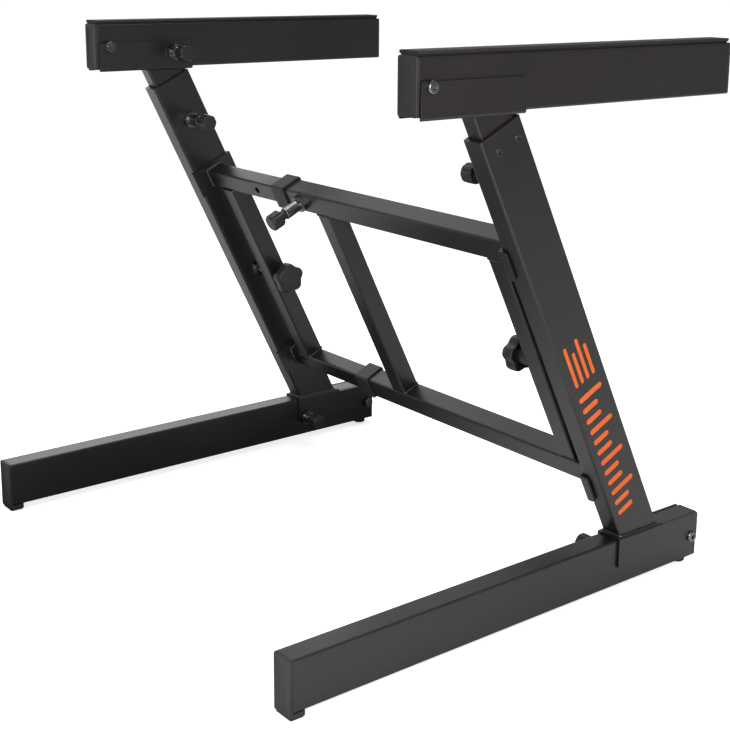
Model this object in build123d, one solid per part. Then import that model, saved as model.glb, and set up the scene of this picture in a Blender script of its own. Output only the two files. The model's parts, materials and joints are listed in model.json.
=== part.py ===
from build123d import *
import os
from math import cos, radians, sin

# Adjustable folding Z stand for a keyboard: two leaning side frames joined by a sliding H-frame.
# Millimetres. +Z up, floor at Z = 0, +X towards the near side frame, -Y towards the toes of the feet.
# The origin is on the floor in the middle of the whole stand.

# ---- driving dimensions ----
SIDE_X = 315.3            # middle of each side frame, from the stand's middle
WALL = 1.5                # tube wall
PLATE = 2.5               # bracket and saddle plate
BEND = 3.0                # outer bend radius of the brackets
TUBE_CORNER = 2.5         # outer corner radius of the tubes
FIT = 0.1                 # plugs in tubes, bolts in tubes

FOOT_LENGTH = 580.0
FOOT_WIDTH = 28.0
FOOT_HEIGHT = 55.0
PAD_HEIGHT = 7.0          # foot tube above the floor
SOLE = 1.6                # rubber sole under the toe block
TOE_BLOCK = 17.5          # length of the block under the toe
BUMPER_R = 8.5
CAP = 3.0                 # thickness of a moulded end cap's face
DISH = 0.9                # depth of the shallow dish in it
PLUG = 18.0               # how far a long end cap reaches into its tube
SHORT_PLUG = 6.0
FOOT_BOLT_INSET = 13.0    # pivot bolt from the heel
FOOT_PIN_BACK = 7.0       # index pin from the front of the leg
BRACKET_LEAD = 4.0        # foot bracket ahead of the leg
ROOF_TAIL = 6.0           # its roof behind the leg
CHEEK_DROP = 6.0          # its cheeks below the middle of the foot
HEEL_SHOW = 2.4           # heel past its cheeks

ARM_LENGTH = 447.0
ARM_WIDTH = 28.0
ARM_HEIGHT = 56.0
ARM_OVERHANG = 9.0        # arms reach this far past the heels
ARM_BOTTOM_Z = 554.0
STRIP_HEIGHT = 4.8
STRIP_WIDTH = 26.4        # over the head of the strip
STRIP_INSET = (1.5, 3.5)  # from the arm's front and rear ends
ARM_BOLT_INSET = 16.5     # pivot bolt from the arm's front end
ARM_PIN_BACK = 91.0       # index pin behind the pivot bolt
ARM_PIN_DROP = 9.0        # and below the middle of the arm
CHEEK_RISE = 5.2          # arm bracket's cheeks above the middle of the arm
ARM_SHOW = 3.9            # arm past its bracket, at the front
BRACKET_TAIL = 28.0       # arm bracket behind the index pin
BRACKET_FLOOR = 64.0      # length of its floor

LEAN = 64.0               # leg's angle from the floor
LEG_WIDTH = 26.0
LEG_DEPTH = 56.5
LEG_LENGTH = 512.0
LEG_FRONT_Y = 152.2       # front face of the leg where it meets the foot bracket
MAST_WIDTH = 20.0
MAST_DEPTH = 47.0
MAST_TAIL = 80.0          # mast below its last index hole
SLIDE_GAP = 0.3           # clearance of every plastic guide
BUSH_HEIGHT = 40.0
SLIDER_HEIGHT = 30.0

BAR_HEIGHT = 28.0         # outer crossbars, across the leg's lean and along its depth
BAR_DEPTH = 26.0
INNER_BAR_GAP = 0.4       # clearance of the inner crossbars in the outer ones
UPPER_BAR = 367.2         # crossbar heights along the leg
LOWER_BAR = 65.0
BAR_END_X = -126.0        # open end of the outer crossbars
INNER_BAR_END_X = 190.0   # hidden free end of the inner crossbars
POST = 25.0               # square tube of the uprights and the brace
POST_GAP = 27.0           # upright to leg
BRACE_X = -46.0
SLEEVE_SKIN = 2.4
SLEEVE_LIP = 12.0         # sleeve ahead of the outer crossbar's mouth
SLEEVE_CUFF = 14.0        # and over it
SADDLE_HEIGHT = 36.0
SADDLE_LIP = 11.2         # saddle flange, from the web's back across the leg's front and rear
SADDLE_CORNER = 6.0
SADDLE_GAP = 1.0          # flange to leg

PIN_R = 4.0               # index pins
PIN_CLEAR = 0.08
HOLE_R = 4.5              # index holes
LEG_PIN = 452.0           # index pin height along the leg
HEIGHT_STEP = 50.0
HEIGHT_STEPS = 8
WIDTH_STEP = 51.0
WIDTH_HOLES = range(-2, 5)
BAR_PIN_X = -82.0
CLAMP = 213.0             # star knob height along the leg
STUD_R = 5.0
BOLT_R = 4.0
HEAD_R = 6.5
NUT_R = 7.5               # over the nut's corners
NUT_HEIGHT = 6.5

# Index plungers. The pin's collar sits in the barrel's chamber, under the spring.
LONG_BARREL = 28.0
SHORT_BARREL = 14.0
LONG_PULL = 8.0
SHORT_PULL = 5.0
BARREL_R = 7.6
HEX_R = 11.0
HEX_HEIGHT = 7.0
CHAMBER_R = 6.0
SHOULDER = 3.0            # barrel's closed top, that guides the pin
COLLAR_R = 5.6
COLLAR_BASE = 0.6
COLLAR_TOP = 2.6
NECK = 6.5                # pull knob's neck
NECK_R = 6.0
KNOB_R = 10.5
KNOB_HEIGHT = 16.0
KNOB_BORE = 8.0
WIRE_R = 0.35
COIL_R = 5.05
COIL_SLACK = 0.4

# ---- worked out from those ----
TOE_Y = -(FOOT_LENGTH + ARM_OVERHANG) / 2
HEEL_Y = TOE_Y + FOOT_LENGTH
ARM_REAR_Y = HEEL_Y + ARM_OVERHANG
ARM_FRONT_Y = ARM_REAR_Y - ARM_LENGTH
FOOT_MID_Z = PAD_HEIGHT + FOOT_HEIGHT / 2
FOOT_TOP_Z = PAD_HEIGHT + FOOT_HEIGHT
LEG_BASE_Z = FOOT_TOP_Z + 0.5 + PLATE
ARM_MID_Z = ARM_BOTTOM_Z + ARM_HEIGHT / 2
ARM_TOP_Z = ARM_BOTTOM_Z + ARM_HEIGHT
BRACKET_FLOOR_Z = ARM_BOTTOM_Z - 0.5 - PLATE
FOOT_BOLT_Y = HEEL_Y - FOOT_BOLT_INSET
FOOT_PIN_Y = LEG_FRONT_Y + FOOT_PIN_BACK
ARM_BOLT_Y = ARM_FRONT_Y + ARM_BOLT_INSET
ARM_PIN_Y = ARM_BOLT_Y + ARM_PIN_BACK
ARM_PIN_Z = ARM_MID_Z - ARM_PIN_DROP
BRACKET_INNER = ARM_WIDTH / 2 + 0.4        # half the space between a bracket's cheeks
BRACKET_OUTER = BRACKET_INNER + PLATE
INNER_BEND = BEND - PLATE                  # inside radius of their bends
LEG_INNER_X = SIDE_X - LEG_WIDTH / 2
BAR_MID = LEG_DEPTH / 2                    # crossbars run down the middle of the leg's depth
WEB_X = LEG_INNER_X - PLATE                # crossbar side of a saddle's web
INNER_BAR_HEIGHT = BAR_HEIGHT - 2 * WALL - 2 * INNER_BAR_GAP
INNER_BAR_DEPTH = BAR_DEPTH - 2 * WALL - 2 * INNER_BAR_GAP
POST_OUTER_X = LEG_INNER_X - POST_GAP
POST_INNER_X = POST_OUTER_X - POST
MAST_BOTTOM = LEG_PIN - HEIGHT_STEP * (HEIGHT_STEPS - 1) - MAST_TAIL
BORE_X = (SIDE_X - 30, SIDE_X + 30)        # long enough to cut right through a side frame

# Leg frame: x is the stand's x, y is depth behind the leg's front face, z is length up the leg.
LEG = Plane(
    origin=(0, LEG_FRONT_Y, LEG_BASE_Z),
    x_dir=(1, 0, 0),
    z_dir=(0, -cos(radians(LEAN)), sin(radians(LEAN))),
).location
TO_INSIDE = Rot(0, -90, 0)                 # turns a part's +Z towards the stand's middle (near side)
ALONG_X = Rot(0, 90, 0)


def tube(width, depth, length, wall=WALL, corner=TUBE_CORNER):
    """Rectangular hollow section standing on z = 0."""
    outer = RectangleRounded(width, depth, corner)
    inner = RectangleRounded(width - 2 * wall, depth - 2 * wall, corner - wall + 0.01)
    return extrude(outer - inner, length)


def along_y(x, y, z, shape):
    """Lays a shape's +Z along +Y, starting at a point."""
    frame = Plane(origin=(x, y, z), x_dir=(1, 0, 0), z_dir=(0, 1, 0))
    return frame.location * shape


def span(x0, x1, y0, y1, z0, z1):
    """Box between two corners."""
    middle = Pos((x0 + x1) / 2, (y0 + y1) / 2, (z0 + z1) / 2)
    return middle * Box(x1 - x0, y1 - y0, z1 - z0)


def bar(x0, x1, height, depth, at, wall=WALL):
    """Square tube across the stand, in the leg frame, at a height along the leg."""
    return LEG * Pos(x0, BAR_MID, at) * ALONG_X * tube(height, depth, x1 - x0, wall)


def cross_pin(radius, x0, x1, y, z):
    """Cylinder along X."""
    return Pos(x0, y, z) * ALONG_X * extrude(Circle(radius), x1 - x0)


def leg_pin(radius, x0, x1, depth, at):
    """Cylinder along X, placed in the leg frame."""
    return LEG * Pos(x0, depth, at) * ALONG_X * extrude(Circle(radius), x1 - x0)


def above(z):
    return span(-600, 600, -600, 600, z, z + 900)


def below(z):
    return span(-600, 600, -600, 600, z - 900, z)


# ---- end caps ----
def end_plug(width, height, length):
    """Hollow spigot of an end cap, that fits in its tube."""
    return tube(width - 2 * (WALL + FIT), height - 2 * (WALL + FIT), length, wall=2.0, corner=2.2)


def dished_face(width, height):
    """Moulded cap face with softened rim and a shallow mitred dish in its outer side."""
    face = extrude(RectangleRounded(width, height, TUBE_CORNER), CAP)
    face = chamfer(face.faces().sort_by(Axis.Z)[0].edges(), 0.6)
    face = chamfer(face.faces().sort_by(Axis.Z)[-1].edges(), 0.4)
    mouth = Rectangle(width - 3, height - 3)
    bottom = Pos(0, 0, DISH) * Rectangle(width - 19, height - 19)
    return face - loft([mouth.face(), bottom.face()])


def end_cap(y, z, height, inward, plug):
    """Cap of a foot or arm tube, with its outer face at y, and inward along +Y or -Y."""
    cap = dished_face(FOOT_WIDTH, height)
    cap += Pos(0, 0, CAP) * end_plug(FOOT_WIDTH, height, plug)
    frame = Plane(origin=(SIDE_X, y, z), x_dir=(1, 0, 0), z_dir=(0, inward, 0))
    return frame.location * cap


# ---- feet ----
def foot_tube():
    body = along_y(SIDE_X, TOE_Y + CAP, FOOT_MID_Z, tube(FOOT_WIDTH, FOOT_HEIGHT, FOOT_LENGTH - 2 * CAP))
    body -= cross_pin(BOLT_R + FIT, *BORE_X, FOOT_BOLT_Y, FOOT_MID_Z)
    return body - cross_pin(HOLE_R, BORE_X[0], SIDE_X, FOOT_PIN_Y, FOOT_MID_Z)


def toe_cap():
    """Cap whose face runs on down in front of a block under the tube."""
    half = FOOT_WIDTH / 2
    face = along_y(SIDE_X, TOE_Y, (FOOT_TOP_Z + SOLE) / 2, dished_face(FOOT_WIDTH, FOOT_TOP_Z - SOLE))
    plug = along_y(SIDE_X, TOE_Y + CAP, FOOT_MID_Z, end_plug(FOOT_WIDTH, FOOT_HEIGHT, PLUG))
    block = span(SIDE_X - half, SIDE_X + half, TOE_Y + CAP - 1, TOE_Y + TOE_BLOCK, SOLE, PAD_HEIGHT - FIT)
    block = fillet(block.edges().filter_by(Axis.Z).group_by(Axis.Y)[-1], 2.0)
    return face + plug + block


def heel_cap():
    """Flat inner cap, whose plug stops short of the pivot bolt."""
    reach = FOOT_BOLT_INSET - BOLT_R - CAP - 1.0
    return end_cap(HEEL_Y, FOOT_MID_Z, FOOT_HEIGHT, -1, reach)


def foot_pads():
    """Rubber sole under the toe block, and a round bumper under the heel."""
    half = FOOT_WIDTH / 2 - 1
    sole = span(SIDE_X - half, SIDE_X + half, TOE_Y + 1, TOE_Y + TOE_BLOCK - 1, 0, SOLE)
    sole = fillet(sole.edges().filter_by(Axis.Z), 2.0)
    bumper = extrude(Circle(BUMPER_R), PAD_HEIGHT)
    bumper = fillet(bumper.faces().sort_by(Axis.Z)[0].edges(), 1.5)
    return Compound(children=[sole, Pos(SIDE_X, FOOT_BOLT_Y - 2.0, 0) * bumper])


def channel(y0, y1, z_open, z_closed):
    """Bent plate channel along Y, open at one height, with rounded bends at the other."""
    depth = abs(z_closed - z_open)
    outer = RectangleRounded(2 * BRACKET_OUTER, 2 * depth, BEND)
    inner = RectangleRounded(2 * BRACKET_INNER, 2 * (depth - PLATE), INNER_BEND)
    body = along_y(SIDE_X, y0, z_open, extrude(outer - inner, y1 - y0))
    body -= below(z_open) if z_closed > z_open else above(z_open)
    lips = body.faces().sort_by(Axis.Z)
    lip_faces = lips[:2] if z_closed > z_open else lips[-2:]
    return fillet(lip_faces.edges().filter_by(Axis.X), 2.0)


def foot_bracket():
    """Channel over the heel of the foot, whose roof carries the leg. The cheeks step down behind the roof."""
    y0 = LEG_FRONT_Y - BRACKET_LEAD
    y1 = HEEL_Y - HEEL_SHOW
    roof_end = LEG_FRONT_Y + LEG_DEPTH / sin(radians(LEAN)) + ROOF_TAIL
    body = channel(y0, y1, FOOT_MID_Z - CHEEK_DROP, LEG_BASE_Z)
    flat_z = LEG_BASE_Z - PLATE - INNER_BEND
    body -= span(*BORE_X, roof_end, y1 + 1, flat_z, LEG_BASE_Z + 1)
    body -= cross_pin(BOLT_R, *BORE_X, FOOT_BOLT_Y, FOOT_MID_Z)
    return body - cross_pin(PIN_R + PIN_CLEAR, BORE_X[0], SIDE_X, FOOT_PIN_Y, FOOT_MID_Z)


def pivot_bolt(y, z):
    """Button-head bolt with a hex socket, and its lock nut on the inner side."""
    head_x = SIDE_X + BRACKET_OUTER
    nut_x = SIDE_X - BRACKET_OUTER
    shank = cross_pin(BOLT_R, nut_x - NUT_HEIGHT - 1, head_x, y, z)
    head = extrude(Circle(HEAD_R), 3.4)
    head = fillet(head.faces().sort_by(Axis.Z)[-1].edges(), 2.0)
    head -= Pos(0, 0, 1.2) * extrude(RegularPolygon(2.9, 6), 3)
    bolt = shank + Pos(head_x, y, z) * ALONG_X * head
    nut = extrude(RegularPolygon(NUT_R, 6), NUT_HEIGHT)
    nut = chamfer(nut.faces().sort_by(Axis.Z)[0].edges(), 0.6)
    nut -= extrude(Circle(BOLT_R), NUT_HEIGHT)
    nut = Pos(nut_x - NUT_HEIGHT, y, z) * ALONG_X * nut
    return Compound(children=[bolt, nut])


# ---- legs and masts ----
def leg_tube():
    start = -LEG_DEPTH
    body = tube(LEG_WIDTH, LEG_DEPTH, LEG_LENGTH - start)
    body = LEG * Pos(SIDE_X, LEG_DEPTH / 2, start) * body
    body -= below(LEG_BASE_Z)
    return body - leg_pin(PIN_R + PIN_CLEAR, LEG_INNER_X - 5, SIDE_X, BAR_MID, LEG_PIN)


def guide_bush():
    """Plastic bush in the leg's mouth, that guides the mast."""
    outer = RectangleRounded(LEG_WIDTH - 2 * WALL - 0.1, LEG_DEPTH - 2 * WALL - 0.1, 1.5)
    inner = RectangleRounded(MAST_WIDTH + 2 * SLIDE_GAP, MAST_DEPTH + 2 * SLIDE_GAP, TUBE_CORNER)
    bush = extrude(outer - inner, BUSH_HEIGHT)
    return LEG * Pos(SIDE_X, LEG_DEPTH / 2, LEG_LENGTH - BUSH_HEIGHT) * bush


def mast_tube():
    """Inner tube with a row of index holes, cut level where it carries the arm bracket."""
    body = tube(MAST_WIDTH, MAST_DEPTH, LEG_LENGTH + 120 - MAST_BOTTOM)
    body = LEG * Pos(SIDE_X, LEG_DEPTH / 2, MAST_BOTTOM) * body
    body -= above(BRACKET_FLOOR_Z)
    for step in range(HEIGHT_STEPS):
        body -= leg_pin(HOLE_R, LEG_INNER_X - 5, SIDE_X, BAR_MID, LEG_PIN - step * HEIGHT_STEP)
    return body


def mast_slider():
    """Plastic block on the mast's foot, that slides in the leg."""
    width = LEG_WIDTH - 2 * WALL - 2 * SLIDE_GAP
    depth = LEG_DEPTH - 2 * WALL - 2 * SLIDE_GAP
    half = SLIDER_HEIGHT / 2
    block = extrude(RectangleRounded(width, depth, 1.0), half)
    block = chamfer(block.faces().sort_by(Axis.Z)[0].edges(), 0.8)
    spigot = RectangleRounded(MAST_WIDTH - 2 * (WALL + FIT), MAST_DEPTH - 2 * (WALL + FIT), 0.8)
    block += Pos(0, 0, half) * extrude(spigot, half)
    return LEG * Pos(SIDE_X, LEG_DEPTH / 2, MAST_BOTTOM - half) * block


# ---- arms ----
def arm_bracket():
    """Channel on top of the mast, open at the top, with no floor where the arm's front end swings."""
    y1 = ARM_PIN_Y + BRACKET_TAIL
    floor_start = y1 - BRACKET_FLOOR
    body = channel(ARM_FRONT_Y + ARM_SHOW, y1, ARM_MID_Z + CHEEK_RISE, BRACKET_FLOOR_Z)
    slot_top = BRACKET_FLOOR_Z + PLATE + INNER_BEND
    body -= span(
        SIDE_X - BRACKET_INNER, SIDE_X + BRACKET_INNER, ARM_FRONT_Y, floor_start, BRACKET_FLOOR_Z - 1, slot_top
    )
    body -= cross_pin(BOLT_R, *BORE_X, ARM_BOLT_Y, ARM_MID_Z)
    return body - cross_pin(PIN_R + PIN_CLEAR, BORE_X[0], SIDE_X, ARM_PIN_Y, ARM_PIN_Z)


def arm_tube():
    body = along_y(SIDE_X, ARM_FRONT_Y + CAP, ARM_MID_Z, tube(ARM_WIDTH, ARM_HEIGHT, ARM_LENGTH - 2 * CAP))
    body -= cross_pin(BOLT_R + FIT, *BORE_X, ARM_BOLT_Y, ARM_MID_Z)
    return body - cross_pin(HOLE_R, BORE_X[0], SIDE_X, ARM_PIN_Y, ARM_PIN_Z)


def arm_strip():
    """Non-slip rubber strip along the top of the arm: a wide head on a narrower base."""
    half = STRIP_WIDTH / 2
    right = [
        (half - 2.4, 0),
        (half - 2.4, 1.2),
        (half, 2.0),
        (half, STRIP_HEIGHT - 0.8),
        (half - 0.6, STRIP_HEIGHT),
    ]
    left = [(-x, z) for x, z in reversed(right)]
    outline = Polyline(*right, *left, close=True)
    length = ARM_LENGTH - sum(STRIP_INSET)
    strip = extrude(Plane.XZ * make_face(outline), -length)
    return Pos(SIDE_X, ARM_FRONT_Y + STRIP_INSET[0], ARM_TOP_Z) * strip


# ---- H-frame ----
def outer_bar(at):
    return bar(BAR_END_X, WEB_X, BAR_HEIGHT, BAR_DEPTH, at)


def inner_bar(at):
    """Far half's crossbar, drawn on its own side: from the far saddle into the outer crossbar."""
    return bar(-WEB_X, INNER_BAR_END_X, INNER_BAR_HEIGHT, INNER_BAR_DEPTH, at)


def index_bore(radius, x):
    """Bore from the front through the upper crossbar's front wall and its middle."""
    return LEG * Pos(x, BAR_MID, UPPER_BAR) * Rot(90, 0, 0) * extrude(Circle(radius), BAR_DEPTH)


def upper_inner_bar():
    body = inner_bar(UPPER_BAR)
    for step in WIDTH_HOLES:
        body -= index_bore(HOLE_R, BAR_PIN_X + step * WIDTH_STEP)
    return body


def post(x0, bar_height):
    """Square tube from crossbar to crossbar, along the leg."""
    low = LOWER_BAR + bar_height / 2
    high = UPPER_BAR - bar_height / 2
    return LEG * Pos(x0 + POST / 2, BAR_MID, low) * tube(POST, POST, high - low)


def upright(bar_height):
    """Post beside the leg, bored for the clamp stud."""
    body = post(POST_INNER_X, bar_height)
    return body - leg_pin(STUD_R + FIT, POST_INNER_X - 1, POST_OUTER_X + 1, BAR_MID, CLAMP)


def saddle(at):
    """Plate welded to the crossbar's end, with lips that hook round the leg's front and rear."""
    reach = SADDLE_GAP + PLATE
    half = SADDLE_HEIGHT / 2
    body = span(WEB_X, LEG_INNER_X, -reach, LEG_DEPTH + reach, at - half, at + half)
    for low in (-reach, LEG_DEPTH + SADDLE_GAP):
        lip = span(WEB_X, WEB_X + SADDLE_LIP, low, low + PLATE, at - half, at + half)
        free = lip.edges().filter_by(Axis.Y).group_by(Axis.X)[-1]
        body += fillet(free, SADDLE_CORNER)
    return LEG * body


def sleeve(at):
    """Moulded collar on the outer crossbar's mouth: a lip round the inner bar, a cuff round the outer."""
    lip_x = BAR_END_X - SLEEVE_LIP
    height = BAR_HEIGHT + 2 * SLEEVE_SKIN
    depth = BAR_DEPTH + 2 * SLEEVE_SKIN
    cuff = bar(lip_x, BAR_END_X + SLEEVE_CUFF, height, depth, at, wall=SLEEVE_SKIN)
    mouth = RectangleRounded(height - SLEEVE_SKIN, depth - SLEEVE_SKIN, 2.0)
    mouth -= RectangleRounded(INNER_BAR_HEIGHT + 2 * SLIDE_GAP, INNER_BAR_DEPTH + 2 * SLIDE_GAP, 2.0)
    return cuff + LEG * Pos(lip_x, BAR_MID, at) * ALONG_X * extrude(mouth, SLEEVE_LIP)


def at_both_bars(make):
    return Compound(children=[make(UPPER_BAR), make(LOWER_BAR)])


# ---- clamp screws ----
def clamp_nut():
    """Weld nut on the leg's inner face, with a washer shoulder."""
    nut = extrude(RegularPolygon(9.8, 6), 8.0) + extrude(Circle(11.0), 1.5)
    nut -= extrude(Circle(STUD_R + FIT), 8.0)
    return LEG * Pos(LEG_INNER_X, BAR_MID, CLAMP) * TO_INSIDE * nut


def star_knob():
    """Five-lobed knob and its threaded stud, moulded together; the stud's outside is drawn smooth."""
    lobes = 5
    hub_height = 13.0
    bore_depth = 20.0
    seat_gap = 0.4
    stud_length = seat_gap + POST + POST_GAP - 1.5
    outline = Circle(14.0)
    for lobe in range(lobes):
        outline += Rot(0, 0, 360 * lobe / lobes) * Pos(12.5, 0) * Circle(8.5)
    outline = fillet(outline.vertices(), 3.0)
    head = extrude(outline, 17.0)
    head = fillet(head.faces().sort_by(Axis.Z)[-1].edges(), 3.0)
    knob = Pos(0, 0, hub_height) * head + extrude(Circle(10.0), hub_height)
    knob -= extrude(Circle(STUD_R), bore_depth)
    stud = Pos(0, 0, -stud_length) * extrude(Circle(STUD_R), stud_length + bore_depth)
    seat = LEG * Pos(POST_INNER_X - seat_gap, BAR_MID, CLAMP) * TO_INSIDE
    return Compound(children=[seat * knob, seat * stud])


# ---- index plungers ----
def plunger_housing(barrel):
    """Hex base and barrel; the pin runs in the shoulder at the top, the spring in the chamber."""
    body = extrude(RegularPolygon(HEX_R, 6), HEX_HEIGHT) + extrude(Circle(BARREL_R), barrel)
    body = chamfer(body.faces().sort_by(Axis.Z)[-1].edges(), 0.8)
    body -= extrude(Circle(CHAMBER_R), barrel - SHOULDER)
    return body - extrude(Circle(PIN_R + PIN_CLEAR), barrel)


def index_pin(barrel, nose):
    pin = Pos(0, 0, -nose) * extrude(Circle(PIN_R), nose + barrel + NECK + KNOB_BORE)
    return pin + Pos(0, 0, COLLAR_BASE) * extrude(Circle(COLLAR_R), COLLAR_TOP - COLLAR_BASE)


def pull_knob():
    """Fluted knob with a neck, bored for the pin."""
    flutes = 8
    neck = NECK - COLLAR_BASE
    knob = fillet(extrude(Circle(KNOB_R), KNOB_HEIGHT).edges(), 2.2)
    for flute in range(flutes):
        knob -= Rot(0, 0, 360 * flute / flutes) * Pos(KNOB_R + 1.7, 0) * extrude(Circle(3.0), KNOB_HEIGHT)
    knob += Pos(0, 0, -neck) * extrude(Circle(NECK_R), NECK)
    return knob - Pos(0, 0, -neck) * extrude(Circle(PIN_R), neck + KNOB_BORE)


def spring(barrel, pull, turns):
    """Return spring at the length it has with the knob pulled right out."""
    room = barrel - SHOULDER - COLLAR_TOP - pull - COIL_SLACK
    height = room - 2 * WIRE_R
    path = Helix(pitch=height / turns, height=height, radius=COIL_R)
    section = Plane(origin=path @ 0, z_dir=path % 0) * Circle(WIRE_R)
    coil = sweep(section, path=path, is_frenet=True)
    return Pos(0, 0, barrel - SHOULDER - room + WIRE_R) * coil


# Each plunger: where it sits, barrel length, how far the pin's nose reaches below the seat, pull, spring turns.
PLUNGERS = {
    "leg": (
        LEG * Pos(LEG_INNER_X, BAR_MID, LEG_PIN) * TO_INSIDE,
        LONG_BARREL,
        (LEG_WIDTH - MAST_WIDTH) / 2 - 0.4,
        LONG_PULL,
        6,
    ),
    "foot": (
        Pos(SIDE_X - BRACKET_OUTER, FOOT_PIN_Y, FOOT_MID_Z) * TO_INSIDE,
        SHORT_BARREL,
        PLATE + 0.1,
        SHORT_PULL,
        2,
    ),
    "arm": (
        Pos(SIDE_X - BRACKET_OUTER, ARM_PIN_Y, ARM_PIN_Z) * TO_INSIDE,
        SHORT_BARREL,
        PLATE + 0.1,
        SHORT_PULL,
        2,
    ),
    "width": (
        LEG * Pos(BAR_PIN_X, BAR_MID - BAR_DEPTH / 2, UPPER_BAR) * Rot(90, 0, 0),
        LONG_BARREL,
        WALL + 0.1,
        LONG_PULL,
        6,
    ),
}


def plunger(name):
    """Pull knob on its index pin."""
    seat, barrel, nose, pull, turns = PLUNGERS[name]
    knob = Pos(0, 0, barrel + NECK) * pull_knob()
    return Compound(children=[seat * index_pin(barrel, nose), seat * knob])


def housings(*names):
    solids = []
    for name in names:
        seat, barrel, nose, pull, turns = PLUNGERS[name]
        solids.append(seat * plunger_housing(barrel))
    return Compound(children=solids)


def springs(*names):
    solids = []
    for name in names:
        seat, barrel, nose, pull, turns = PLUNGERS[name]
        solids.append(seat * spring(barrel, pull, turns))
    return Compound(children=solids)


# ---- writing the nodes ----
def far_side(shape):
    return mirror(shape, about=Plane.YZ)


def write(name, shape):
    export_step(shape, f"parts/{name}.step")


SIDE_PARTS = {
    "foot_tube": foot_tube,
    "foot_toe_cap": toe_cap,
    "foot_heel_cap": heel_cap,
    "foot_pads": foot_pads,
    "foot_bracket": foot_bracket,
    "leg_tube": leg_tube,
    "leg_guide_bush": guide_bush,
    "mast_tube": mast_tube,
    "mast_slider": mast_slider,
    "arm_bracket": arm_bracket,
    "arm_bolt": lambda: pivot_bolt(ARM_BOLT_Y, ARM_MID_Z),
    "arm_tube": arm_tube,
    "arm_front_cap": lambda: end_cap(ARM_FRONT_Y, ARM_MID_Z, ARM_HEIGHT, 1, SHORT_PLUG),
    "arm_rear_cap": lambda: end_cap(ARM_REAR_Y, ARM_MID_Z, ARM_HEIGHT, -1, PLUG),
    "arm_strip": arm_strip,
    "saddles": lambda: at_both_bars(saddle),
    "star_knob": star_knob,
    "leg_plunger": lambda: plunger("leg"),
    "foot_plunger": lambda: plunger("foot"),
    "arm_plunger": lambda: plunger("arm"),
    "arm_plunger_housing": lambda: housings("arm"),
    "arm_plunger_spring": lambda: springs("arm"),
    "frame_fasteners": lambda: Compound(children=[pivot_bolt(FOOT_BOLT_Y, FOOT_MID_Z), clamp_nut()]),
}


def main():
    os.makedirs("parts", exist_ok=True)
    for name, make in SIDE_PARTS.items():
        shape = make()
        write(f"near_{name}", shape)
        write(f"far_{name}", far_side(shape))
    write("near_upright", upright(BAR_HEIGHT))
    write("far_upright", far_side(upright(INNER_BAR_HEIGHT)))
    write("upper_outer_crossbar", outer_bar(UPPER_BAR) - index_bore(PIN_R + PIN_CLEAR, BAR_PIN_X))
    write("lower_outer_crossbar", outer_bar(LOWER_BAR))
    write("upper_inner_crossbar", upper_inner_bar())
    write("lower_inner_crossbar", inner_bar(LOWER_BAR))
    write("brace", post(BRACE_X - POST / 2, BAR_HEIGHT))
    write("crossbar_sleeves", at_both_bars(sleeve))
    write("width_plunger", plunger("width"))
    write("near_frame_plunger_housings", housings("leg", "foot", "width"))
    write("far_frame_plunger_housings", far_side(housings("leg", "foot")))
    write("near_frame_plunger_springs", springs("leg", "foot", "width"))
    write("far_frame_plunger_springs", far_side(springs("leg", "foot")))


main()
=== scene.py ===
import json
from math import cos, pi, radians, sin

import bmesh
import bpy
from mathutils import Matrix, Vector


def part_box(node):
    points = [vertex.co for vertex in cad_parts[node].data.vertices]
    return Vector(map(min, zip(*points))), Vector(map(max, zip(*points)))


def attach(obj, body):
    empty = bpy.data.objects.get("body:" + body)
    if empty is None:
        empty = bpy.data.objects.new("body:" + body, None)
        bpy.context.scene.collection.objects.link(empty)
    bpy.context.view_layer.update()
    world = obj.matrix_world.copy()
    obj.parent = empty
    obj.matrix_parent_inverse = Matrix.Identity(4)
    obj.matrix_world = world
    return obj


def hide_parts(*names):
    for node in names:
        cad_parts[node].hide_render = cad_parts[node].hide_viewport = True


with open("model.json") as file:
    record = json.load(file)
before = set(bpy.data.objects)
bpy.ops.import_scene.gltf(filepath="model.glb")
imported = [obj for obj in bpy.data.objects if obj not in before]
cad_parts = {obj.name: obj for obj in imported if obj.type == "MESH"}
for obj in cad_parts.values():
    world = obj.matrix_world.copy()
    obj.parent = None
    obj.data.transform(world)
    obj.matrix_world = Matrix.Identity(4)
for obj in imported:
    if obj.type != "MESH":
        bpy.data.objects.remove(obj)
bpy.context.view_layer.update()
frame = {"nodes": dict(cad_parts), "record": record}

MM = 0.001
LEAN = radians(64.0)
UP_LEG = Vector((0.0, -cos(LEAN), sin(LEAN)))       # along the leg, from foot to arm
INTO_LEG = Vector((0.0, sin(LEAN), cos(LEAN)))      # from the leg's front face to its rear face
ACROSS = Vector((1.0, 0.0, 0.0))
BACKWARD = Vector((0.0, 1.0, 0.0))

LEG_LOW, LEG_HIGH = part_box("near_leg_tube")
LEG_DEPTH = 56.5 * MM
MAST_DEPTH = 47.0 * MM
OUTER_BAR = (28.0 * MM, 26.0 * MM)                  # crossbars, up the leg and into its depth
INNER_BAR = (24.2 * MM, 22.2 * MM)
LEG_WIDTH = LEG_HIGH.x - LEG_LOW.x
LEG_FOOTPRINT = LEG_DEPTH / sin(LEAN)               # depth of the leg where it is cut level
LEG_ORIGIN = Vector((0.0, LEG_HIGH.y - LEG_FOOTPRINT, LEG_LOW.z))
LEG_OUTER_X = LEG_HIGH.x
BAR_DEPTH_IN_LEG = LEG_DEPTH / 2
TUBE_CORNER = 2.5 * MM
SIDES = {"near": 1, "far": -1}

WELD_STEP = 0.5 * MM
WELD_SCALE = 5                                      # steps from one scale mark to the next
WELD_SECTION = 10
WELD_R = 2.0 * MM
POST_WELD_R = 1.5 * MM
MAST_WELD_R = 1.6 * MM
SADDLE_WELD_R = 3.0 * MM

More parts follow.
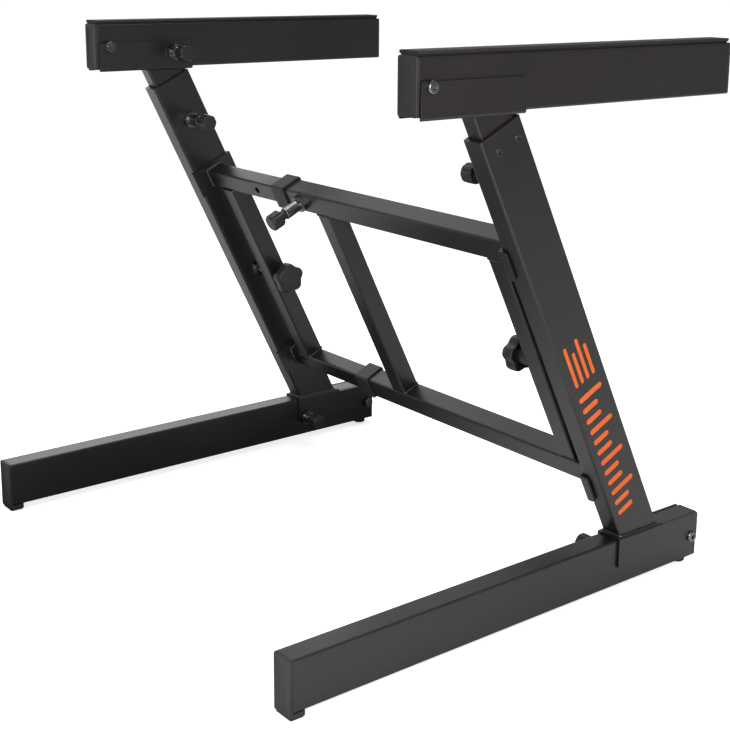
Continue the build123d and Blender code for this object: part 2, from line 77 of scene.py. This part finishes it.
PRESS_MARK_HEIGHT = 492.0 * MM
PRESS_MARK_DEPTHS = (18.7 * MM, 46.0 * MM)
PRESS_MARK_SEGMENTS = 24
# radius and rise over the leg's face, mm
PRESS_MARK_PROFILE = ((4.4, 0.0), (4.0, 0.40), (3.4, 0.60), (2.8, 0.40), (2.2, 0.08), (0.01, 0.05))

PRINT_THICKNESS = 0.06 * MM
PRINT_LONG_BARS = ((13.0, 52.0), (22.0, 40.0), (31.0, 52.0), (40.0, 40.0))   # depth in the leg and length, mm
PRINT_LONG_MIDDLE = 231.0
PRINT_LONG_FULL = 52.0
PRINT_LONG_WIDTH = 4.4
PRINT_RUNGS = 12
PRINT_RUNG_LENGTHS = (36.0, 24.0, 24.0)
PRINT_RUNG_START = 9.0
PRINT_RUNG_TOP = 188.0
PRINT_RUNG_PITCH = 14.6
PRINT_RUNG_WIDTH = 6.4

KNOB_R = 20.6 * MM
KNOB_HEAD = 17.0 * MM
KNOB_HUB = 13.0 * MM
KNOB_LOBES = 5
KNOB_LOBE_CUT = 0.17
KNOB_LOBE_SHARPNESS = 1.4
KNOB_TURN = radians(18.0)
KNOB_SEGMENTS = 120
# height above the seat in mm, share of the knob's radius, how deep the lobes are cut
KNOB_PROFILE = (
    (0.0, 0.46, 0.0), (0.3, 0.49, 0.0), (14.0, 0.50, 0.0), (24.0, 0.48, 0.0), (25.0, 0.54, 0.2),
    (25.0, 0.76, 0.8), (24.0, 0.83, 1.0), (15.0, 0.87, 1.0), (14.2, 0.90, 1.0), (14.2, 0.94, 1.0),
    (15.4, 0.985, 1.0), (18.0, 1.0, 1.0), (26.0, 1.0, 1.0), (28.4, 0.975, 1.0), (29.6, 0.92, 1.0),
    (30.0, 0.86, 0.9), (29.7, 0.78, 0.8), (28.9, 0.62, 0.5), (28.6, 0.3, 0.0), (28.6, 0.001, 0.0),
)
STUD_R = 5.0 * MM
STUD_PITCH = 1.5 * MM
STUD_THREAD = 0.75 * MM
STUD_CHAMFER = 1.2 * MM
STUD_TIP_SHARE = 0.78
STUD_SEGMENTS = 24
STUD_STEPS_PER_TURN = 6

FLOOR_HALF = 30.0
FLOOR_BELOW = 0.5 * MM
SHADED_STRIP_X = -0.24                              # middle of the shaded strip along the far foot
SHADED_STRIP_HALF = 0.08
SHADED_STRIP_END = 0.36
PAPER_GLOW = 0.62


def middle(box):
    """Middle of a box."""
    return (box[0] + box[1]) / 2


def on_leg(x, depth, along):
    """Point in the leg's own directions: across the stand, behind the leg's front face, up the leg."""
    return LEG_ORIGIN + ACROSS * x + INTO_LEG * depth + UP_LEG * along


def up_leg(point):
    """How far up the leg a point lies."""
    return (point - LEG_ORIGIN).dot(UP_LEG)


# ---------------------------------------------------------------- materials
def linear(hex_colour):
    """sRGB hex colour as linear RGBA."""
    channels = [int(hex_colour[i:i + 2], 16) / 255 for i in (1, 3, 5)]
    return [c / 12.92 if c <= 0.04045 else ((c + 0.055) / 1.055) ** 2.4 for c in channels] + [1.0]


def node(tree, kind, settings=None, **links):
    """Adds a node. Settings are its properties or input values; links join its inputs to other sockets."""
    made = tree.nodes.new("ShaderNode" + kind)
    for key, value in (settings or {}).items():
        if key in made.inputs:
            made.inputs[key].default_value = value
        else:
            setattr(made, key, value)
    for key, socket in links.items():
        tree.links.new(socket, made.inputs[key.replace("_", " ")])
    return made


def new_material(name, **values):
    """Empty node material with a shader whose constant values are set on its own sockets."""
    material = bpy.data.materials.new(name)
    material.use_nodes = True
    tree = material.node_tree
    tree.nodes.clear()
    shader = node(tree, "BsdfPrincipled", values)
    out = node(tree, "OutputMaterial")
    tree.links.new(shader.outputs["BSDF"], out.inputs["Surface"])
    return material, tree, shader


def two_tone(tree, dark, light, factor, low=0.3, high=0.7):
    """Colour that runs between two hex colours as a factor goes from low to high."""
    ramp = node(tree, "ValToRGB", Fac=factor)
    ramp.color_ramp.elements[0].position = low
    ramp.color_ramp.elements[1].position = high
    ramp.color_ramp.elements[0].color = linear(dark)
    ramp.color_ramp.elements[1].color = linear(light)
    return ramp.outputs["Color"]


def bumped(tree, strength, depth_mm, pattern, over):
    """Bump from a noise pattern, on top of another node's normal."""
    values = {"Strength": strength, "Distance": depth_mm * MM}
    return node(tree, "Bump", values, Height=pattern.outputs["Fac"], Normal=over.outputs["Normal"])


def powder_coat(name, dark="#161211", light="#1d1917", edge_highlight="#2e2926", gloss=(0.30, 0.40)):
    """Black powder coat on steel: fine orange-peel grain, faint cloudiness, softened edges painted lighter as
    a highlight.
    """
    material, tree, shader = new_material(name, **{"IOR": 1.55})
    place = node(tree, "TexCoord").outputs["Object"]
    grain = node(tree, "TexNoise", {"Scale": 1400.0, "Detail": 3.0, "Roughness": 0.6}, Vector=place)
    peel = node(tree, "TexNoise", {"Scale": 420.0, "Detail": 1.0}, Vector=place)
    cloud = node(tree, "TexNoise", {"Scale": 9.0, "Detail": 4.0}, Vector=place)
    edge = node(tree, "Bevel", {"samples": 6, "Radius": 0.7 * MM})
    flat = node(tree, "NewGeometry").outputs["Normal"]
    bend = node(tree, "VectorMath", {"operation": "DOT_PRODUCT"})
    tree.links.new(edge.outputs["Normal"], bend.inputs[0])
    tree.links.new(flat, bend.inputs[1])
    # Painted highlight: where the bevel normal turns away from the face, at the edges, the colour runs to a
    # lighter tone.
    edge_highlight_mask = node(tree, "MapRange", {"From Min": 0.995, "From Max": 0.80}, Value=bend.outputs["Value"])
    highlighted = node(tree, "Mix", {"data_type": "RGBA"}, Factor=edge_highlight_mask.outputs["Result"])
    tree.links.new(two_tone(tree, dark, light, cloud.outputs["Fac"]), highlighted.inputs[6])
    highlighted.inputs[7].default_value = linear(edge_highlight)
    tree.links.new(highlighted.outputs[2], shader.inputs["Base Color"])
    sheen = node(tree, "MapRange", {"To Min": gloss[0], "To Max": gloss[1]}, Value=cloud.outputs["Fac"])
    tree.links.new(sheen.outputs["Result"], shader.inputs["Roughness"])
    wave = bumped(tree, 0.08, 0.3, peel, edge)
    bump = bumped(tree, 0.15, 0.1, grain, wave)
    tree.links.new(bump.outputs["Normal"], shader.inputs["Normal"])
    return material


def moulded(name, dark, light, rough, grain_per_metre=900.0, depth=0.12, edge_mm=0.5):
    """Moulded plastic or rubber: grained skin, soft edges."""
    material, tree, shader = new_material(name, **{"IOR": 1.49})
    place = node(tree, "TexCoord").outputs["Object"]
    grain = node(tree, "TexNoise", {"Scale": grain_per_metre, "Detail": 2.0}, Vector=place)
    cloud = node(tree, "TexNoise", {"Scale": 14.0, "Detail": 3.0}, Vector=place)
    edge = node(tree, "Bevel", {"samples": 6, "Radius": edge_mm * MM})
    tree.links.new(two_tone(tree, dark, light, cloud.outputs["Fac"]), shader.inputs["Base Color"])
    span = {"To Min": rough - 0.05, "To Max": rough + 0.05}
    gloss = node(tree, "MapRange", span, Value=grain.outputs["Fac"])
    tree.links.new(gloss.outputs["Result"], shader.inputs["Roughness"])
    bump = bumped(tree, 0.2, depth, grain, edge)
    tree.links.new(bump.outputs["Normal"], shader.inputs["Normal"])
    return material


def steel(name, dark, light, rough):
    """Plated steel of bolts, pins and housings, with fine turning marks and softened edges."""
    material, tree, shader = new_material(name, **{"Metallic": 1.0})
    place = node(tree, "TexCoord").outputs["Object"]
    marks = node(tree, "TexNoise", {"Scale": 2200.0, "Detail": 2.0}, Vector=place)
    cloud = node(tree, "TexNoise", {"Scale": 60.0, "Detail": 3.0}, Vector=place)
    edge = node(tree, "Bevel", {"samples": 6, "Radius": 0.4 * MM})
    tree.links.new(two_tone(tree, dark, light, cloud.outputs["Fac"]), shader.inputs["Base Color"])
    span = {"To Min": rough - 0.06, "To Max": rough + 0.06}
    gloss = node(tree, "MapRange", span, Value=marks.outputs["Fac"])
    tree.links.new(gloss.outputs["Result"], shader.inputs["Roughness"])
    bump = bumped(tree, 0.12, 0.05, marks, edge)
    tree.links.new(bump.outputs["Normal"], shader.inputs["Normal"])
    return material


POWDER = powder_coat("Black_powder_coat_fine_texture")
# Same black coat over the weld beads, in lighter tones than the plain coat: painted highlight on the beads,
# with a lighter painted edge highlight.
WELD = powder_coat(
    "Black_powder_coat_over_weld", dark="#1b1715", light="#26211f", edge_highlight="#3d3834", gloss=(0.22, 0.30)
)
CAP = moulded("Black_polypropylene_moulded_grain", "#242120", "#2c2928", 0.56)
NYLON = moulded(
    "Black_glass_filled_nylon_satin", "#1b1a1a", "#232221", 0.42, grain_per_metre=1500.0, depth=0.06
)
RUBBER = moulded("Black_rubber_matt", "#191716", "#201d1c", 0.70, grain_per_metre=1200.0, depth=0.16)
ACETAL = moulded("Black_acetal_smooth", "#141414", "#1a1a1a", 0.35)
ZINC = steel("Black_zinc_plated_steel", "#5a5a5e", "#8a8a90", 0.20)
SPRING = steel("Spring_steel_wire_drawn", "#8c8c90", "#a4a4a8", 0.28)
ORANGE = moulded(
    "Orange_screen_print_satin", "#d85a10", "#e06416", 0.50, grain_per_metre=2000.0, depth=0.02, edge_mm=0.05
)

SLOT_MATERIAL = {
    "powder_coat": POWDER,
    "cap_plastic": CAP,
    "cap_rubber": CAP,
    "guide_plastic": ACETAL,
    "knob_plastic": NYLON,
    "rubber": RUBBER,
    "black_zinc": ZINC,
    "spring_steel": SPRING,
}


def dress(obj, material):
    """Gives an object one material."""
    obj.data.materials.clear()
    obj.data.materials.append(material)


for part in frame["record"]["subparts"]:
    dress(frame["nodes"][part["node"]], SLOT_MATERIAL[part["material_slot"]])


# ---------------------------------------------------------------- pieces
def finished(name, form, material, body, smooth=True):
    """Makes an object of a bmesh and puts it on its body."""
    bmesh.ops.recalc_face_normals(form, faces=form.faces)
    mesh = bpy.data.meshes.new(name)
    form.to_mesh(mesh)
    form.free()
    for face in mesh.polygons:
        face.use_smooth = smooth
    obj = bpy.data.objects.new(name, mesh)
    bpy.context.collection.objects.link(obj)
    dress(obj, material)
    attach(obj, body)
    return obj


def skin(form, rings, closed_path=False):
    """Joins closed rings of points, one after the other, with quads. Returns the rings' vertices."""
    made = [[form.verts.new(point) for point in ring] for ring in rings]
    count = len(made[0])
    pairs = list(zip(made, made[1:]))
    if closed_path:
        pairs.append((made[-1], made[0]))
    for one, two in pairs:
        for i in range(count):
            j = (i + 1) % count
            form.faces.new((one[i], one[j], two[j], two[i]))
    return made


def rounded_loop(centre, u, v, width, height):
    """Evenly spaced points round a tube's end, and the outward direction at each."""
    straight_u = width - 2 * TUBE_CORNER
    straight_v = height - 2 * TUBE_CORNER
    turns = max(3, round(TUBE_CORNER * pi / 2 / WELD_STEP))
    loop = []
    corner_at = centre + u * (straight_u / 2) - v * (straight_v / 2)
    out, along = u, v
    for straight in (straight_v, straight_u, straight_v, straight_u):
        for i in range(round(straight / WELD_STEP)):
            loop.append((corner_at + out * TUBE_CORNER + along * (i * WELD_STEP), out))
        corner_at = corner_at + along * straight
        for i in range(turns):
            angle = pi / 2 * i / turns
            away = out * cos(angle) + along * sin(angle)
            loop.append((corner_at + away * TUBE_CORNER, away))
        out, along = along, -out
    return loop


def weld_bead(name, body, centre, u, v, width, height, radius=WELD_R):
    """Weld round a tube's end: a bead in the corner, with the scale marks of the torch."""
    normal = u.cross(v)
    rings = []
    for i, (point, out) in enumerate(rounded_loop(centre, u, v, width, height)):
        wave = abs(sin(pi * i / WELD_SCALE))
        drift = 1.0 + 0.10 * sin(0.13 * i) + 0.06 * sin(0.31 * i + 1.0)
        size = radius * (0.80 + 0.20 * wave) * drift
        angles = (2 * pi * k / WELD_SECTION for k in range(WELD_SECTION))
        rings.append([point + (out * cos(a) + normal * sin(a)) * size for a in angles])
    form = bmesh.new()
    skin(form, rings, closed_path=True)
    finished(name, form, WELD, body)


def weld_posts():
    """Beads at both ends of the brace and the uprights."""
    posts = {"brace": "near_frame", "near_upright": "near_frame", "far_upright": "far_frame"}
    bars = {
        "near_frame": ("upper_outer_crossbar", "lower_outer_crossbar"),
        "far_frame": ("upper_inner_crossbar", "lower_inner_crossbar"),
    }
    half_bar = {"near_frame": OUTER_BAR[0] / 2, "far_frame": INNER_BAR[0] / 2}
    for post, body in posts.items():
        low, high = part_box(post)
        width = high.x - low.x
        x = (low.x + high.x) / 2
        for bar, inward in zip(bars[body], (-1, 1)):
            along = up_leg(middle(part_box(bar))) + inward * half_bar[body]
            place = on_leg(x, BAR_DEPTH_IN_LEG, along)
            name = f"weld_{post}_{bar.split('_')[0]}"
            weld_bead(name, body, place, ACROSS, INTO_LEG, width, width, radius=POST_WELD_R)


def weld_saddles():
    """Beads where the crossbars end on the saddles' webs."""
    ends = {
        "upper_outer_crossbar": ("near_frame", 1, OUTER_BAR),
        "lower_outer_crossbar": ("near_frame", 1, OUTER_BAR),
        "upper_inner_crossbar": ("far_frame", 0, INNER_BAR),
        "lower_inner_crossbar": ("far_frame", 0, INNER_BAR),
    }
    for bar, (body, end, section) in ends.items():
        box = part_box(bar)
        place = on_leg(box[end].x, BAR_DEPTH_IN_LEG, up_leg(middle(box)))
        weld_bead(f"weld_{bar}_end", body, place, UP_LEG, INTO_LEG, *section, radius=SADDLE_WELD_R)


def weld_legs_and_masts():
    """Beads round each leg on its foot bracket, and round each mast under its arm bracket."""
    for side in SIDES:
        low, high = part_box(f"{side}_leg_tube")
        place = Vector(((low.x + high.x) / 2, high.y - LEG_FOOTPRINT / 2, low.z))
        weld_bead(f"weld_{side}_leg", f"{side}_frame", place, ACROSS, BACKWARD, LEG_WIDTH, LEG_FOOTPRINT)
        low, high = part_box(f"{side}_mast_tube")
        width = high.x - low.x
        depth = MAST_DEPTH / sin(LEAN)
        place = Vector(((low.x + high.x) / 2, low.y + depth / 2, high.z))
        weld_bead(
            f"weld_{side}_mast", f"{side}_mast", place, ACROSS, BACKWARD, width, depth, radius=MAST_WELD_R
        )


def press_marks():
    """Two small pressed craters near the top of each leg's outer face, that hold the guide bush."""
    turns = [2 * pi * k / PRESS_MARK_SEGMENTS for k in range(PRESS_MARK_SEGMENTS)]
    for side, sign in SIDES.items():
        for index, depth in enumerate(PRESS_MARK_DEPTHS):
            place = on_leg(sign * LEG_OUTER_X, depth, PRESS_MARK_HEIGHT)
            rings = []
            for radius, rise in PRESS_MARK_PROFILE:
                level = place + ACROSS * (sign * rise * MM)
                rings.append([level + (INTO_LEG * cos(a) + UP_LEG * sin(a)) * (radius * MM) for a in turns])
            form = bmesh.new()
            made = skin(form, rings)
            form.faces.new(made[-1])
            finished(f"press_mark_{side}_{index + 1}", form, POWDER, f"{side}_frame")


def print_bar(form, depth, along, length, width, lengthways):
    """Flat bar with round ends on the near leg's outer face, along the leg or across it. Sizes in mm."""
    run, side = (UP_LEG, INTO_LEG) if lengthways else (INTO_LEG, UP_LEG)
    centre = on_leg(LEG_OUTER_X + PRINT_THICKNESS, depth * MM, along * MM)
    half = (length - width) / 2
    steps = 8
    points = []
    for end in (1, -1):
        for k in range(steps + 1):
            angle = pi * k / steps
            away = run * (end * sin(angle)) + side * (end * cos(angle))
            points.append(centre + run * (end * half * MM) + away * (width / 2 * MM))
    form.faces.new([form.verts.new(point) for point in points])


def printed_mark():
    """Plain printed pattern on the near leg: long bars above a ladder of short and long ones."""
    form = bmesh.new()
    for depth, length in PRINT_LONG_BARS:
        along = PRINT_LONG_MIDDLE - (PRINT_LONG_FULL - length) / 2
        print_bar(form, depth, along, length, PRINT_LONG_WIDTH, True)
    for rung in range(PRINT_RUNGS):
        length = PRINT_RUNG_LENGTHS[rung % len(PRINT_RUNG_LENGTHS)]
        along = PRINT_RUNG_TOP - PRINT_RUNG_PITCH * rung
        print_bar(form, PRINT_RUNG_START + length / 2, along, length, PRINT_RUNG_WIDTH, False)
    finished("printed_mark_near_leg", form, ORANGE, "near_frame", smooth=False)


def lobed(angle, cut):
    """Radius of the knob at an angle, with its lobes cut by a share of their full depth."""
    valley = (0.5 - 0.5 * cos(KNOB_LOBES * (angle - KNOB_TURN))) ** KNOB_LOBE_SHARPNESS
    return KNOB_R * (1.0 - KNOB_LOBE_CUT * cut * valley)


def star_knob(side):
    """Moulded knob with soft lobes, a dished face and a hollow underside, on a threaded stud."""
    sign = SIDES[side]
    inward = ACROSS * -sign
    low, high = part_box(f"{side}_star_knob")
    inner_x = low.x if sign > 0 else high.x
    outer_x = high.x if sign > 0 else low.x
    centre = middle((low, high))
    seat = Vector((inner_x, centre.y, centre.z)) - inward * (KNOB_HEAD + KNOB_HUB)
    form = bmesh.new()
    rings = []
    for height, share, cut in KNOB_PROFILE:
        ring = []
        for k in range(KNOB_SEGMENTS):
            angle = 2 * pi * k / KNOB_SEGMENTS
            away = (UP_LEG * cos(angle) + INTO_LEG * sin(angle)) * (lobed(angle, cut) * share)
            ring.append(seat + inward * (height * MM) + away)
        rings.append(ring)
    made = skin(form, rings)
    form.faces.new(made[0])
    obj = finished(f"star_knob_{side}", form, NYLON, f"{side}_star_knob")
    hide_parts(f"{side}_star_knob")
    stud(side, seat, inward, abs(outer_x - seat.x))


def stud(side, seat, inward, length):
    """Threaded stud behind the knob, with a rolled 1.5 mm thread and a chamfered tip."""
    steps = round(length / (STUD_PITCH / STUD_STEPS_PER_TURN))
    rings = []
    for i in range(steps + 1):
        run = length * i / steps
        tip = min(1.0, (length - run) / STUD_CHAMFER)
        ring = []
        for k in range(STUD_SEGMENTS):
            turn = (run / STUD_PITCH - k / STUD_SEGMENTS) % 1.0
            crest = abs(2 * turn - 1)
            size = (STUD_R - STUD_THREAD * crest) * (STUD_TIP_SHARE + (1.0 - STUD_TIP_SHARE) * tip)
            angle = 2 * pi * k / STUD_SEGMENTS
            ring.append(seat - inward * run + (UP_LEG * cos(angle) + INTO_LEG * sin(angle)) * size)
        rings.append(ring)
    form = bmesh.new()
    made = skin(form, rings)
    form.faces.new(made[0])
    form.faces.new(made[-1])
    finished(f"clamp_stud_{side}", form, ZINC, f"{side}_star_knob")


weld_posts()
weld_saddles()
weld_legs_and_masts()
press_marks()
printed_mark()
for side in SIDES:
    star_knob(side)


# ---------------------------------------------------------------- floor, light and camera
def floor_paper(name):
    """Matt white studio paper: white to the eye, but it throws less light back along the far foot."""
    material, tree, shader = new_material(name, **{"Roughness": 0.9, "IOR": 1.4})
    fibre = node(tree, "TexNoise", {"Scale": 40.0, "Detail": 4.0})
    paper = two_tone(tree, "#f6f6f6", "#fafafa", fibre.outputs["Fac"])
    across = node(tree, "SeparateXYZ", Vector=node(tree, "TexCoord").outputs["Object"]).outputs["X"]
    strip = node(tree, "Math", {"operation": "ADD"})
    tree.links.new(across, strip.inputs[0])
    strip.inputs[1].default_value = -SHADED_STRIP_X
    away = node(tree, "Math", {"operation": "ABSOLUTE"})
    tree.links.new(strip.outputs["Value"], away.inputs[0])
    ends = {"From Min": SHADED_STRIP_HALF, "From Max": SHADED_STRIP_END}
    lit = node(tree, "MapRange", ends, Value=away.outputs["Value"])
    seen = node(tree, "LightPath").outputs["Is Camera Ray"]
    share = node(tree, "Math", {"operation": "MAXIMUM"})
    tree.links.new(lit.outputs["Result"], share.inputs[0])
    tree.links.new(seen, share.inputs[1])
    mix = node(tree, "Mix", {"data_type": "RGBA"}, Factor=share.outputs["Value"])
    mix.inputs[6].default_value = linear("#5c5c5c")
    tree.links.new(paper, mix.inputs[7])
    tree.links.new(mix.outputs[2], shader.inputs["Base Color"])
    glow = node(tree, "MapRange", {"To Min": 0.0, "To Max": PAPER_GLOW}, Value=seen)
    shader.inputs["Emission Color"].default_value = linear("#ffffff")
    tree.links.new(glow.outputs["Result"], shader.inputs["Emission Strength"])
    return material


def floor():
    """Large sheet of paper just under the stand's pads."""
    form = bmesh.new()
    corners = ((-1, -1), (1, -1), (1, 1), (-1, 1))
    form.faces.new([form.verts.new((x * FLOOR_HALF, y * FLOOR_HALF, -FLOOR_BELOW)) for x, y in corners])
    mesh = bpy.data.meshes.new("floor")
    form.to_mesh(mesh)
    form.free()
    obj = bpy.data.objects.new("floor", mesh)
    bpy.context.collection.objects.link(obj)
    dress(obj, floor_paper("White_background_paper"))


def softbox(name, place, target, size, power):
    """Rectangular lamp that faces a target. Sizes in metres, power in watts."""
    data = bpy.data.lights.new(name, "AREA")
    data.shape = "RECTANGLE"
    data.size, data.size_y = size
    data.energy = power
    obj = bpy.data.objects.new(name, data)
    bpy.context.collection.objects.link(obj)
    obj.location = place
    obj.rotation_euler = (Vector(target) - Vector(place)).to_track_quat("-Z", "Y").to_euler()
    obj.visible_camera = False


def studio(toward, dim, bright):
    """White backdrop in a room that is brightest in one direction and dim in the opposite one."""
    made = bpy.data.worlds.new("studio")
    made.use_nodes = True
    tree = made.node_tree
    back = tree.nodes["Background"]
    back.inputs["Color"].default_value = linear("#ffffff")
    way = node(tree, "TexCoord").outputs["Generated"]
    facing = node(tree, "VectorMath", {"operation": "DOT_PRODUCT"})
    tree.links.new(way, facing.inputs[0])
    facing.inputs[1].default_value = Vector(toward).normalized()
    span = {"From Min": -1.0, "To Min": dim, "To Max": bright}
    level = node(tree, "MapRange", span, Value=facing.outputs["Value"])
    seen = node(tree, "LightPath").outputs["Is Camera Ray"]
    backdrop = node(tree, "Math", {"operation": "MAXIMUM"})
    tree.links.new(level.outputs["Result"], backdrop.inputs[0])
    tree.links.new(seen, backdrop.inputs[1])
    tree.links.new(backdrop.outputs["Value"], back.inputs["Strength"])
    bpy.context.scene.world = made


def camera(azimuth, elevation, roll, distance, target, lens, shift):
    """Camera that looks at a target from an azimuth (0 looks along +Y) and an elevation, both in degrees."""
    a, e = radians(azimuth), radians(elevation)
    back = Vector((sin(a) * cos(e), -cos(a) * cos(e), sin(e)))
    data = bpy.data.cameras.new("camera")
    data.lens = lens
    data.shift_x, data.shift_y = shift
    data.clip_end = 100.0
    obj = bpy.data.objects.new("camera", data)
    bpy.context.collection.objects.link(obj)
    turn = (-back).to_track_quat("-Z", "Y").to_matrix() @ Matrix.Rotation(radians(roll), 3, "Z")
    obj.matrix_world = Matrix.Translation(Vector(target) + back * distance) @ turn.to_4x4()
    bpy.context.scene.camera = obj


floor()
studio((-0.6, 0.0, 0.8), 0.01, 0.60)
softbox("left_panel", (-1.20, 0.30, 0.70), (0.0, 0.30, 0.65), (1.4, 1.25), 6.3)
softbox("right_softbox", (1.45, -0.55, 0.75), (0.30, 0.0, 0.30), (0.7, 0.7), 16.0)
softbox("top_softbox", (-0.3, 0.2, 2.4), (0.0, 0.0, 0.3), (1.6, 1.6), 18.0)
camera(50.355, 12.853, 0.79, 1.508, (0.160, -0.0045, 0.3615), 67.8, (-0.076, -0.129))
bpy.context.scene.view_settings.view_transform = "Standard"
